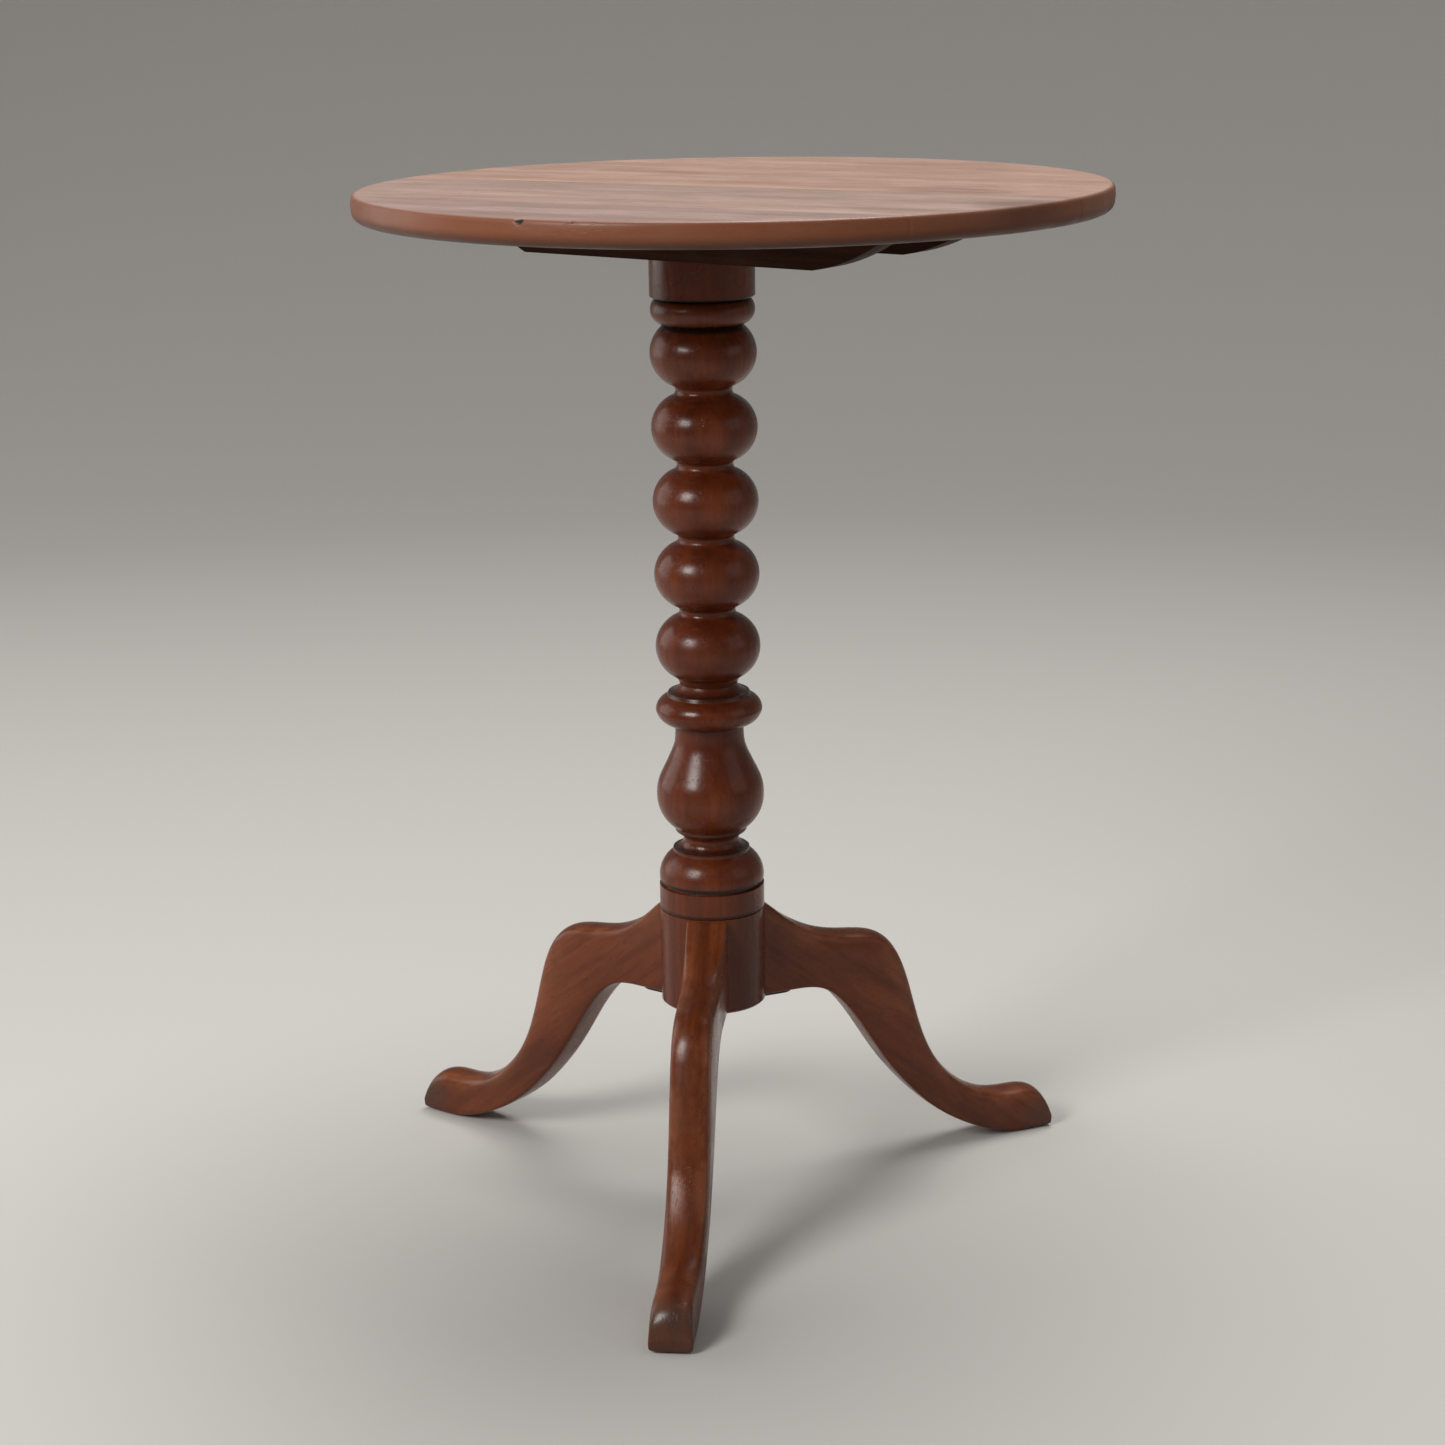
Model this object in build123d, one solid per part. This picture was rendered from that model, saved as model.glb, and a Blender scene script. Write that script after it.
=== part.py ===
"""Tilt-top tripod table: a round three-board top that hinges up on a bobbin-turned column.

Frame: origin on the floor on the column's axis, +Z up. The bearers run along X and the catch is on
the +X side of the block, so the +X edge of the top lifts when the table is tilted. Millimetres.
"""

from build123d import *
import math
import os

# ---- Overall ----
HEIGHT = 680.0  # floor to the upper face of the top

# ---- Top: three boards ----
TOP_DIAMETER = 476.0
TOP_THICKNESS = 16.0
TOP_OFFSET = 25.0  # centre of the top past the column's axis, towards the catch
RIM_UPPER_ROUND = 2.5
RIM_LOWER_ROUND = 6.0
BOARD_SKEW = 7.7  # degrees between the board joints and the bearers
FRONT_JOINT = -144.0  # joint of front and middle boards, from the top's centre
BACK_JOINT = -11.0  # joint of middle and back boards, from the top's centre
DOWEL_RADIUS = 4.0
DOWEL_LENGTH = 40.0
DOWEL_SPACING = 112.0

# ---- Bearers under the top ----
BEARER_DEPTH = 26.0
BEARER_WIDTH = 20.0
BEARER_TAIL_REACH = 165.0  # from the top's centre, away from the catch
BEARER_TAIL_FLAT = 121.0
BEARER_NOSE_REACH = 155.0  # from the top's centre, past the catch
BEARER_NOSE_FLAT = 101.0
BEARER_TIP = 3.5  # square end left at each tip
BEARER_NOSE_BELLY = 3.5  # how far the nose bows out from a straight chamfer

# ---- Block on the column, and its pivots ----
BLOCK_SIZE = 78.0  # square in plan
BLOCK_HEIGHT = 25.4
BLOCK_TOP_GAP = 0.6  # between the block and the top
BLOCK_SIDE_GAP = 0.5  # between the block and each bearer
BLOCK_CORNER_ROUND = 11.0
PIVOT_INSET = 12.0  # pivot axis in from the block's tail face
PIVOT_DROP = 14.0  # pivot axis below the top's underside
PIVOT_RADIUS = 4.5
PIVOT_IN_BLOCK = 22.0
PIVOT_IN_BEARER = 13.0
RUNNING_CLEARANCE = 0.05
GLUE_CLEARANCE = 0.05
END_CLEARANCE = 0.7  # past the end of a pin, tenon or tongue

# ---- Column ----
COLUMN_RADIUS = 35.0  # hub and torus
CAP_RADIUS = 33.9
CAP_HEIGHT = 28.6
BEAD_RADIUS = 33.6
BEAD_HEIGHT = 16.6
BOBBIN_COUNT = 5
BOBBIN_RADIUS = 34.4
BOBBIN_EDGE_RADIUS = 20.8  # where a ball meets the cove beside it
BOBBIN_NECK_RADIUS = 18.4
BOBBIN_COVE_HALF = 3.4
TOP_BALL_CUT = 17.9  # height of the top ball above its middle, where the bead cuts it
COLLAR_RADIUS = 35.2
BALUSTER_RADIUS = 35.6
BALUSTER_NECK_RADIUS = 22.6
TENON_RADIUS = 16.0
WEDGE_LENGTH = 20.0
WEDGE_TOP = 3.2
WEDGE_TIP = 1.0

# ---- Legs ----
LEG_ANGLES = {"leg_rear": 180.0, "leg_front_left": 60.0, "leg_front_right": -60.0}
LEG_REACH = 257.0  # toe from the column's axis
LEG_JOINT_TOP = 201.0  # height where a leg meets the top of the hub
HUB_BOTTOM = 136.0
LEG_THICKNESS = 27.6
LEG_ROUND = 3.5
LEG_ARCH = 48.1  # from the hub to the corner of the arch under each leg
DOVETAIL_DEPTH = 13.0
DOVETAIL_ROOT = 12.0
DOVETAIL_BACK = 17.0

# ---- Iron strap under the hub ----
STRAP_THICKNESS = 2.0
STRAP_DISC_RADIUS = 20.0
STRAP_ARM_WIDTH = 19.0
STRAP_ARM_REACH = 57.0
STRAP_SCREW_RADII = (40.0, 51.0)

# ---- Brass catch ----
BOLT_TRAVEL = 6.0
BOLT_WIDTH = 12.0
BOLT_THICKNESS = 3.0
BOLT_DROP = 6.0  # top of the bolt below the underside of the top
BOLT_CLEARANCE = 0.1
BOLT_NOSE_BEVEL = 2.0
BOLT_NOSE_GAP = 1.2  # between the bolt's nose and the keep plate
BOLT_TAIL = 128.0  # end of the bolt from the column's axis
BOLT_WINDOW = (78.0, 106.0)  # window in the bolt that holds the spring
BOLT_WINDOW_WIDTH = 7.0
CASE_WALL = 1.5
CASE_DEPTH = 12.0
CASE_WIDTH = 19.0
CASE_END = 137.0
CASE_GAP = 3.0  # between the keep's lip and the case
FLANGE_WIDTH = 35.0
FLANGE_THICKNESS = 2.0
CATCH_SCREW_INSET = 7.0
CATCH_SCREW_Y = 13.5
STUD_X = 103.0
STUD_RADIUS = 2.0
SPRING_RADIUS = 2.6
SPRING_WIRE = 0.45
SPRING_TURNS = 9
KNOB_X = 122.0
KNOB_RADIUS = 4.5
KNOB_LENGTH = 11.5
KNOB_STEM_RADIUS = 1.9
KNOB_GAP = 0.5
KEEP_THICKNESS = 1.5
KEEP_WIDTH = 24.0
KEEP_HEIGHT = 17.0
KEEP_LIP = 7.0
KEEP_LIP_GAP = 0.4
KEEP_SCREW_Y = 7.5
KEEP_SCREW_DROP = 12.0  # keep screws below the lip's upper face

# ---- Screws: head radius, shank radius, length ----
BEARER_SCREW = (4.0, 2.0, 36.0)
STRAP_SCREW = (3.2, 1.6, 18.0)
CATCH_SCREW = (2.6, 1.3, 11.0)
KEEP_SCREW = (2.2, 1.0, 12.0)
SCREW_SLOT = 0.8
SCREW_FIT = 0.03
BEARER_SCREW_X = (-112.0, 4.0, BEARER_NOSE_FLAT - 9.0)  # from the top's centre

# ---- Levels and places worked out from the sizes above ----
UNDERSIDE = HEIGHT - TOP_THICKNESS
BEARER_BOTTOM = UNDERSIDE - BEARER_DEPTH
BLOCK_TOP = UNDERSIDE - BLOCK_TOP_GAP
BLOCK_BOTTOM = BLOCK_TOP - BLOCK_HEIGHT
BLOCK_HALF = BLOCK_SIZE / 2
PIVOT_X = PIVOT_INSET - BLOCK_HALF
PIVOT_Z = UNDERSIDE - PIVOT_DROP
BEARER_Y = BLOCK_HALF + BLOCK_SIDE_GAP + BEARER_WIDTH / 2
BOLT_TOP = UNDERSIDE - BOLT_DROP
BOLT_NOSE = BLOCK_HALF + KEEP_THICKNESS + BOLT_NOSE_GAP
KEEP_LIP_END = BLOCK_HALF + KEEP_LIP
KEEP_TOP = BOLT_TOP + KEEP_LIP_GAP + KEEP_THICKNESS
CASE_START = KEEP_LIP_END + CASE_GAP
CASE_BOTTOM = UNDERSIDE - CASE_DEPTH


# ---- Shared shapes ----
def box_between(low, high):
    """A box from one corner to the opposite one."""
    size = [b - a for a, b in zip(low, high)]
    middle = [(a + b) / 2 for a, b in zip(low, high)]
    return Pos(*middle) * Box(*size)


def rod(start, direction, radius, length):
    """A cylinder from a point along a direction."""
    plane = Plane(origin=start, z_dir=direction)
    return plane * Cylinder(radius, length, align=(Align.CENTER, Align.CENTER, Align.MIN))


def outline(start, steps):
    """Edges from a start point. A step is an end point, or a middle and an end point for an arc."""
    edges = []
    here = start
    for step in steps:
        if isinstance(step[0], tuple):
            middle, end = step
            edges.append(ThreePointArc(here, middle, end))
        else:
            end = step
            edges.append(Line(here, end))
        here = end
    return edges


def countersunk(size, fit=0.0):
    """A countersunk wood screw along +Z with its head's face at Z = 0; fit widens it into a cutter."""
    head_radius, shank_radius, length = size
    head = head_radius + fit
    shank = shank_radius + fit
    cone = head - shank
    point = 2 * shank
    steps = [(head, 0), (shank, cone), (shank, length - point), (0, length), (0, 0)]
    face = Plane.XZ * make_face(outline((0, 0), steps))
    body = revolve(face, Axis.Z)
    if fit:
        return body
    slot = Box(3 * head_radius, SCREW_SLOT, 2 * SCREW_SLOT)
    return body - slot


def drilled(part, size, places):
    """Cut a screw's countersink and pilot at each place."""
    for place in places:
        part -= place * countersunk(size, SCREW_FIT)
    return part


def screws(size, places):
    """One screw at each place, as a group of separate solids."""
    return Compound(children=[place * countersunk(size) for place in places])


# ---- Places of the screws ----
def bearer_screw_places(sides=(-1, 1)):
    return [Pos(TOP_OFFSET + x, side * BEARER_Y, BEARER_BOTTOM) for side in sides for x in BEARER_SCREW_X]


def strap_screw_places():
    level = HUB_BOTTOM - STRAP_THICKNESS
    arms = [Rot(0, 0, angle) * Pos(r, 0, level) for angle in LEG_ANGLES.values() for r in STRAP_SCREW_RADII]
    return [Pos(0, 0, level)] + arms


def catch_screw_places():
    level = UNDERSIDE - FLANGE_THICKNESS
    ends = (CASE_START + CATCH_SCREW_INSET, CASE_END - CATCH_SCREW_INSET)
    return [Pos(x, side * CATCH_SCREW_Y, level) for x in ends for side in (-1, 1)]


def keep_screw_places():
    face = BLOCK_HALF + KEEP_THICKNESS
    level = KEEP_TOP - KEEP_SCREW_DROP
    return [Pos(face, side * KEEP_SCREW_Y, level) * Rot(0, -90, 0) for side in (-1, 1)]


# ---- Top boards and dowels ----
def joint_frame(offset):
    """Plane on a board joint: x along the joint, z across it, at half the top's thickness."""
    angle = math.radians(BOARD_SKEW)
    along = (math.cos(angle), math.sin(angle), 0)
    across = (-math.sin(angle), math.cos(angle), 0)
    middle = (TOP_OFFSET + across[0] * offset, across[1] * offset, HEIGHT - TOP_THICKNESS / 2)
    return Plane(origin=middle, x_dir=along, z_dir=across)


def dowels(radius, length):
    rods = []
    for offset in (FRONT_JOINT, BACK_JOINT):
        frame = joint_frame(offset)
        for place in (-DOWEL_SPACING, 0, DOWEL_SPACING):
            rods.append(frame * Pos(place, 0, 0) * Cylinder(radius, length))
    return rods


def make_boards():
    radius = TOP_DIAMETER / 2
    disc = Pos(TOP_OFFSET, 0, UNDERSIDE + TOP_THICKNESS / 2) * Cylinder(radius, TOP_THICKNESS)
    rims = disc.edges().filter_by(GeomType.CIRCLE).sort_by(Axis.Z)
    disc = fillet(rims[-1], RIM_UPPER_ROUND)
    rims = disc.edges().filter_by(GeomType.CIRCLE).sort_by(Axis.Z)
    disc = fillet(rims[0], RIM_LOWER_ROUND)
    for hole in dowels(DOWEL_RADIUS + GLUE_CLEARANCE, DOWEL_LENGTH + 2 * END_CLEARANCE):
        disc -= hole
    disc = drilled(disc, BEARER_SCREW, bearer_screw_places())
    disc = drilled(disc, CATCH_SCREW, catch_screw_places())
    names = ("board_front", "board_middle", "board_back")
    edges = (-TOP_DIAMETER, FRONT_JOINT, BACK_JOINT, TOP_DIAMETER)
    boards = {}
    for name, low, high in zip(names, edges, edges[1:]):
        strip = Box(3 * TOP_DIAMETER, 3 * TOP_THICKNESS, high - low)
        boards[name] = disc & (joint_frame((low + high) / 2) * strip)
    return boards


# ---- Bearers ----
def make_bearer(side):
    tail = TOP_OFFSET - BEARER_TAIL_REACH
    nose = TOP_OFFSET + BEARER_NOSE_REACH
    tail_flat = TOP_OFFSET - BEARER_TAIL_FLAT
    nose_flat = TOP_OFFSET + BEARER_NOSE_FLAT
    tip = UNDERSIDE - BEARER_TIP
    run = math.hypot(nose - nose_flat, tip - BEARER_BOTTOM)
    belly = (
        (nose + nose_flat) / 2 + BEARER_NOSE_BELLY * (tip - BEARER_BOTTOM) / run,
        (tip + BEARER_BOTTOM) / 2 - BEARER_NOSE_BELLY * (nose - nose_flat) / run,
    )
    steps = [
        (tail, tip),
        (tail_flat, BEARER_BOTTOM),
        (nose_flat, BEARER_BOTTOM),
        (belly, (nose, tip)),
        (nose, UNDERSIDE),
        (tail, UNDERSIDE),
    ]
    face = Plane.XZ * make_face(outline((tail, UNDERSIDE), steps))
    bearer = Pos(0, side * BEARER_Y, 0) * extrude(face, BEARER_WIDTH / 2, both=True)
    inner = side * (BLOCK_HALF + BLOCK_SIDE_GAP)
    depth = PIVOT_IN_BEARER + END_CLEARANCE
    bearer -= rod((PIVOT_X, inner, PIVOT_Z), (0, side, 0), PIVOT_RADIUS + RUNNING_CLEARANCE, depth)
    return drilled(bearer, BEARER_SCREW, bearer_screw_places((side,)))


# ---- Block, pivots and wedge ----
def make_block():
    block = box_between((-BLOCK_HALF, -BLOCK_HALF, BLOCK_BOTTOM), (BLOCK_HALF, BLOCK_HALF, BLOCK_TOP))
    tail_edge = block.edges().filter_by(Axis.Y).group_by(Axis.Z)[-1].sort_by(Axis.X)[0]
    block = fillet(tail_edge, BLOCK_CORNER_ROUND)
    block -= rod((0, 0, BLOCK_BOTTOM), (0, 0, 1), TENON_RADIUS + GLUE_CLEARANCE, BLOCK_HEIGHT)
    for side in (-1, 1):
        start = (PIVOT_X, side * (BLOCK_HALF - PIVOT_IN_BLOCK - END_CLEARANCE), PIVOT_Z)
        block -= rod(start, (0, side, 0), PIVOT_RADIUS + GLUE_CLEARANCE, PIVOT_IN_BLOCK + END_CLEARANCE)
    return drilled(block, KEEP_SCREW, keep_screw_places())


def make_pivot_pins():
    pins = []
    length = PIVOT_IN_BLOCK + BLOCK_SIDE_GAP + PIVOT_IN_BEARER
    for side in (-1, 1):
        start = (PIVOT_X, side * (BLOCK_HALF - PIVOT_IN_BLOCK), PIVOT_Z)
        pins.append(rod(start, (0, side, 0), PIVOT_RADIUS, length))
    return Compound(children=pins)


def make_wedge(fit=0.0):
    """The wedge driven down into the tenon's end; fit widens it into the cutter for its slot."""
    top = BLOCK_TOP - END_CLEARANCE
    face = make_face(
        outline(
            (-WEDGE_TOP / 2 - fit, top),
            [
                (-WEDGE_TIP / 2 - fit, top - WEDGE_LENGTH - fit),
                (WEDGE_TIP / 2 + fit, top - WEDGE_LENGTH - fit),
                (WEDGE_TOP / 2 + fit, top),
                (-WEDGE_TOP / 2 - fit, top),
            ],
        )
    )
    wedge = extrude(Plane.XZ * face, 2 * TENON_RADIUS, both=True)
    if fit:
        return wedge
    return wedge & rod((0, 0, BLOCK_BOTTOM), (0, 0, 1), TENON_RADIUS, BLOCK_HEIGHT)


# ---- Column ----
def ball_arc_radius_at(height, half_height):
    """Radius of a bobbin at a height above its middle, on the arc through its edges."""
    bulge = BOBBIN_RADIUS - BOBBIN_EDGE_RADIUS
    arc = (half_height**2 + bulge**2) / (2 * bulge)
    return BOBBIN_RADIUS - arc + math.sqrt(arc**2 - height**2)


def foot_turning(base):
    """Torus, cove, fillet, baluster and collar, from the groove above the hub's band."""
    return [
        ((33.7, base + 9.6), (25.4, base + 19.8)),
        (25.4, base + 22.2),
        ((20.2, base + 24.2), (18.6, base + 27.6)),
        (18.6, base + 29.2),
        ((20.0, base + 32.0), (23.0, base + 33.4)),
        (23.8, base + 34.4),
        (23.8, base + 36.2),
        ((32.8, base + 46.6), (BALUSTER_RADIUS, base + 60.0)),
    ]


def collar_turning(base):
    """Collar torus, quirk and the cove up to the lowest neck, from the baluster's neck."""
    return [
        ((31.6, base + 3.4), (COLLAR_RADIUS, base + 10.0)),
        ((33.4, base + 15.4), (28.4, base + 19.2)),
        (27.6, base + 19.6),
        (26.8, base + 22.0),
        ((20.8, base + 24.4), (BOBBIN_NECK_RADIUS + 0.4, base + 27.2)),
    ]


def bobbin_turning(start, pitch):
    """The row of balls and the coves between them, from the middle of the lowest cove."""
    half = pitch / 2 - BOBBIN_COVE_HALF
    edge = BOBBIN_EDGE_RADIUS
    steps = [(edge, start + BOBBIN_COVE_HALF)]
    for index in range(1, BOBBIN_COUNT):
        cove = start + index * pitch
        steps.append(((BOBBIN_RADIUS, cove - pitch / 2), (edge, cove - BOBBIN_COVE_HALF)))
        steps.append(((BOBBIN_NECK_RADIUS, cove), (edge, cove + BOBBIN_COVE_HALF)))
    middle = start + (BOBBIN_COUNT - 0.5) * pitch
    cut = ball_arc_radius_at(TOP_BALL_CUT, half)
    steps.append(((BOBBIN_RADIUS, middle), (cut, middle + TOP_BALL_CUT)))
    return steps


def make_column():
    line_z = LEG_JOINT_TOP + 1.0
    groove_z = line_z + 17.6
    torus = groove_z + 1.6
    collar = torus + 107.2
    first_neck = collar + 28.4
    cap_bottom = BLOCK_BOTTOM - CAP_HEIGHT
    bead_bottom = cap_bottom - BEAD_HEIGHT - 1.2
    pitch = (bead_bottom - TOP_BALL_CUT - first_neck) / (BOBBIN_COUNT - 0.5)
    hub = COLUMN_RADIUS
    hub_steps = [
        (hub - 1.2, HUB_BOTTOM),
        (hub, HUB_BOTTOM + 1.2),
        (hub, line_z - 0.5),
        (hub - 0.9, line_z),
        (hub, line_z + 0.5),
        (hub, groove_z - 1.3),
        (hub - 2.4, groove_z - 0.9),
        (hub - 2.4, groove_z + 1.0),
        (hub - 0.3, torus),
    ]
    baluster_top = (BALUSTER_RADIUS, torus + 60.0)
    neck = (BALUSTER_NECK_RADIUS, collar - 1.0)
    baluster = Spline(
        baluster_top,
        (33.4, torus + 71.4),
        (29.4, torus + 79.8),
        (25.4, torus + 88.4),
        neck,
        tangents=[(0, 1), (0, 1)],
    )
    head_steps = [
        ((BEAD_RADIUS, bead_bottom + 9.4), (31.0, bead_bottom + BEAD_HEIGHT)),
        (30.4, cap_bottom - 0.6),
        (CAP_RADIUS - 0.9, cap_bottom),
        (CAP_RADIUS, cap_bottom + 0.9),
        (CAP_RADIUS, BLOCK_BOTTOM - 0.8),
        (CAP_RADIUS - 0.8, BLOCK_BOTTOM),
        (TENON_RADIUS, BLOCK_BOTTOM),
        (TENON_RADIUS, BLOCK_TOP - END_CLEARANCE),
        (0, BLOCK_TOP - END_CLEARANCE),
        (0, HUB_BOTTOM),
    ]
    upper = [(BALUSTER_NECK_RADIUS + 0.8, collar)] + collar_turning(collar)
    upper += bobbin_turning(first_neck, pitch) + head_steps
    edges = outline((0, HUB_BOTTOM), hub_steps + foot_turning(torus)) + [baluster] + outline(neck, upper)
    column = revolve(Plane.XZ * make_face(edges), Axis.Z)
    for angle in LEG_ANGLES.values():
        column -= Rot(0, 0, angle) * dovetail(GLUE_CLEARANCE)
    column -= make_wedge(GLUE_CLEARANCE)
    return drilled(column, STRAP_SCREW, strap_screw_places()[:1])


# ---- Legs ----
def dovetail(fit=0.0):
    """The tongue on a leg's end, along +X; fit widens it into the cutter for its socket."""
    back = COLUMN_RADIUS - DOVETAIL_DEPTH - fit
    front = COLUMN_RADIUS + (2.0 if fit else 1.0)
    slope = (DOVETAIL_BACK - DOVETAIL_ROOT) / 2 / DOVETAIL_DEPTH
    half_back = DOVETAIL_BACK / 2 + fit
    half_front = half_back - slope * (front - back)
    corners = [(back, -half_back), (front, -half_front), (front, half_front), (back, half_back)]
    face = make_face(outline(corners[-1], corners))
    top = LEG_JOINT_TOP if fit else LEG_JOINT_TOP - END_CLEARANCE
    return Pos(0, 0, HUB_BOTTOM) * extrude(face, top - HUB_BOTTOM)


def leg_side():
    """Side view of a leg: down from the hub, over the knee to the toe, and back under the arch."""
    length = LEG_REACH - COLUMN_RADIUS

    def at(out, up):
        return (COLUMN_RADIUS + out * length, up * LEG_JOINT_TOP)

    corners = [
        (at(0.128, 0.849), 0.430),  # foot of the sweep down from the hub
        (at(0.445, 0.834), 0.173),  # knee
        (at(0.577, 0.287), 0.371),  # ankle
        (at(0.782, 0.155), 0.239),  # instep
        (at(0.956, 0.162), 0.096),  # top of the toe
        (at(1.019, 0.0), 0.032),  # toe to sole
        (at(0.756, 0.0), 0.400),  # sole to the back of the foot
        (at(0.485, 0.222), 0.820),  # back of the ankle
        ((COLUMN_RADIUS + LEG_ARCH, HUB_BOTTOM), 0.189),  # arch
    ]
    start = at(-0.036, 1.038)
    end = (start[0], HUB_BOTTOM)
    points = [start] + [point for point, _ in corners] + [end]
    radii = [radius * length for _, radius in corners]
    return [FilletPolyline(*points, radius=radii), Line(end, start)]


def make_leg(angle):
    leg = extrude(Plane.XZ * make_face(leg_side()), LEG_THICKNESS / 2, both=True)
    rims = [edge for edge in leg.faces().filter_by(Axis.Y).edges() if edge.center().X > COLUMN_RADIUS - 4]
    leg = fillet(rims, LEG_ROUND)
    leg -= rod((0, 0, 0), (0, 0, 1), COLUMN_RADIUS, HEIGHT)
    leg = Rot(0, 0, angle) * (leg + dovetail())
    return drilled(leg, STRAP_SCREW, strap_screw_places()[1:])


# ---- Strap ----
def make_strap():
    level = HUB_BOTTOM - STRAP_THICKNESS
    strap = rod((0, 0, level), (0, 0, 1), STRAP_DISC_RADIUS, STRAP_THICKNESS)
    half = STRAP_ARM_WIDTH / 2
    for angle in LEG_ANGLES.values():
        arm = box_between((0, -half, level), (STRAP_ARM_REACH - half, half, HUB_BOTTOM))
        arm += rod((STRAP_ARM_REACH - half, 0, level), (0, 0, 1), half, STRAP_THICKNESS)
        strap += Rot(0, 0, angle) * arm
    return drilled(strap, STRAP_SCREW, strap_screw_places())


# ---- Catch ----
def make_case():
    half = CASE_WIDTH / 2
    flange = box_between(
        (CASE_START, -FLANGE_WIDTH / 2, UNDERSIDE - FLANGE_THICKNESS),
        (CASE_END, FLANGE_WIDTH / 2, UNDERSIDE),
    )
    case = flange + box_between((CASE_START, -half, CASE_BOTTOM), (CASE_END, half, UNDERSIDE))
    case -= box_between(
        (CASE_START + CASE_WALL, CASE_WALL - half, CASE_BOTTOM + CASE_WALL),
        (CASE_END - CASE_WALL, half - CASE_WALL, UNDERSIDE),
    )
    half_slot = BOLT_WIDTH / 2 + BOLT_CLEARANCE
    case -= box_between(
        (CASE_START - 1, -half_slot, BOLT_TOP - BOLT_THICKNESS - BOLT_CLEARANCE),
        (CASE_START + 2 * CASE_WALL, half_slot, BOLT_TOP + BOLT_CLEARANCE),
    )
    stem = KNOB_STEM_RADIUS + 4 * BOLT_CLEARANCE
    slot = Pos(KNOB_X + BOLT_TRAVEL / 2, 0, CASE_BOTTOM) * extrude(
        SlotCenterToCenter(BOLT_TRAVEL, 2 * stem), 2 * CASE_WALL, both=True
    )
    case -= slot
    case -= rod((STUD_X, 0, CASE_BOTTOM), (0, 0, 1), STUD_RADIUS + GLUE_CLEARANCE, CASE_WALL)
    return drilled(case, CATCH_SCREW, catch_screw_places())


def make_bolt():
    half = BOLT_WIDTH / 2
    bottom = BOLT_TOP - BOLT_THICKNESS
    bolt = box_between((BOLT_NOSE, -half, bottom), (BOLT_TAIL, half, BOLT_TOP))
    nose_edge = bolt.edges().filter_by(Axis.Y).group_by(Axis.Z)[0].sort_by(Axis.X)[0]
    bolt = chamfer(nose_edge, BOLT_NOSE_BEVEL)
    window = BOLT_WINDOW_WIDTH / 2
    bolt -= box_between((BOLT_WINDOW[0], -window, bottom - 1), (BOLT_WINDOW[1], window, BOLT_TOP + 1))
    return bolt - rod((KNOB_X, 0, bottom), (0, 0, 1), KNOB_STEM_RADIUS + GLUE_CLEARANCE, BOLT_THICKNESS)


def make_knob():
    top = CASE_BOTTOM - KNOB_GAP
    radius = KNOB_RADIUS
    waist = 2.6
    steps = [
        ((radius * 0.8, top - KNOB_LENGTH + 0.8), (radius, top - KNOB_LENGTH + 3.2)),
        ((radius * 0.85, top - KNOB_LENGTH + 5.8), (waist, top - KNOB_LENGTH + 7.4)),
        (waist, top - 1.6),
        (radius * 0.75, top - 1.2),
        (radius * 0.75, top),
        (KNOB_STEM_RADIUS, top),
        (KNOB_STEM_RADIUS, BOLT_TOP),
        (0, BOLT_TOP),
        (0, top - KNOB_LENGTH),
    ]
    face = Plane.XZ * make_face(outline((0, top - KNOB_LENGTH), steps))
    return Pos(KNOB_X, 0, 0) * revolve(face, Axis.Z)


def make_stud():
    return rod((STUD_X, 0, CASE_BOTTOM), (0, 0, 1), STUD_RADIUS, CASE_DEPTH)


def make_spring():
    """Coil between the front of the bolt's window and the fixed stud, along +X."""
    start = BOLT_WINDOW[0] + 2 * SPRING_WIRE
    length = STUD_X - STUD_RADIUS - 2 * SPRING_WIRE - start
    centre = BOLT_TOP - BOLT_THICKNESS / 2
    coil_radius = SPRING_RADIUS - SPRING_WIRE
    path = Helix(pitch=length / SPRING_TURNS, height=length, radius=coil_radius)
    wire = Plane(origin=path @ 0, z_dir=path % 0) * Circle(SPRING_WIRE)
    coil = sweep(wire, path=path, is_frenet=True)
    return Pos(start, 0, centre) * Rot(0, 90, 0) * coil


def make_keep():
    half = KEEP_WIDTH / 2
    plate = box_between(
        (BLOCK_HALF, -half, KEEP_TOP - KEEP_HEIGHT), (BLOCK_HALF + KEEP_THICKNESS, half, KEEP_TOP)
    )
    lip = box_between((BLOCK_HALF, -half, KEEP_TOP - KEEP_THICKNESS), (KEEP_LIP_END, half, KEEP_TOP))
    return drilled(plate + lip, KEEP_SCREW, keep_screw_places())


# ---- Build ----
def make_parts():
    parts = {"column": make_column()}
    for name, angle in LEG_ANGLES.items():
        parts[name] = make_leg(angle)
    parts["leg_strap"] = make_strap()
    parts["strap_screws"] = screws(STRAP_SCREW, strap_screw_places())
    parts["block"] = make_block()
    parts["tenon_wedge"] = make_wedge()
    parts["pivot_pins"] = make_pivot_pins()
    parts["keep"] = make_keep()
    parts["keep_screws"] = screws(KEEP_SCREW, keep_screw_places())
    parts.update(make_boards())
    parts["board_dowels"] = Compound(children=dowels(DOWEL_RADIUS, DOWEL_LENGTH))
    parts["bearer_right"] = make_bearer(-1)
    parts["bearer_left"] = make_bearer(1)
    parts["bearer_screws"] = screws(BEARER_SCREW, bearer_screw_places())
    parts["catch_case"] = make_case()
    parts["catch_screws"] = screws(CATCH_SCREW, catch_screw_places())
    parts["spring_stud"] = make_stud()
    parts["catch_spring"] = make_spring()
    parts["catch_bolt"] = make_bolt()
    parts["catch_knob"] = make_knob()
    return parts


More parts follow.
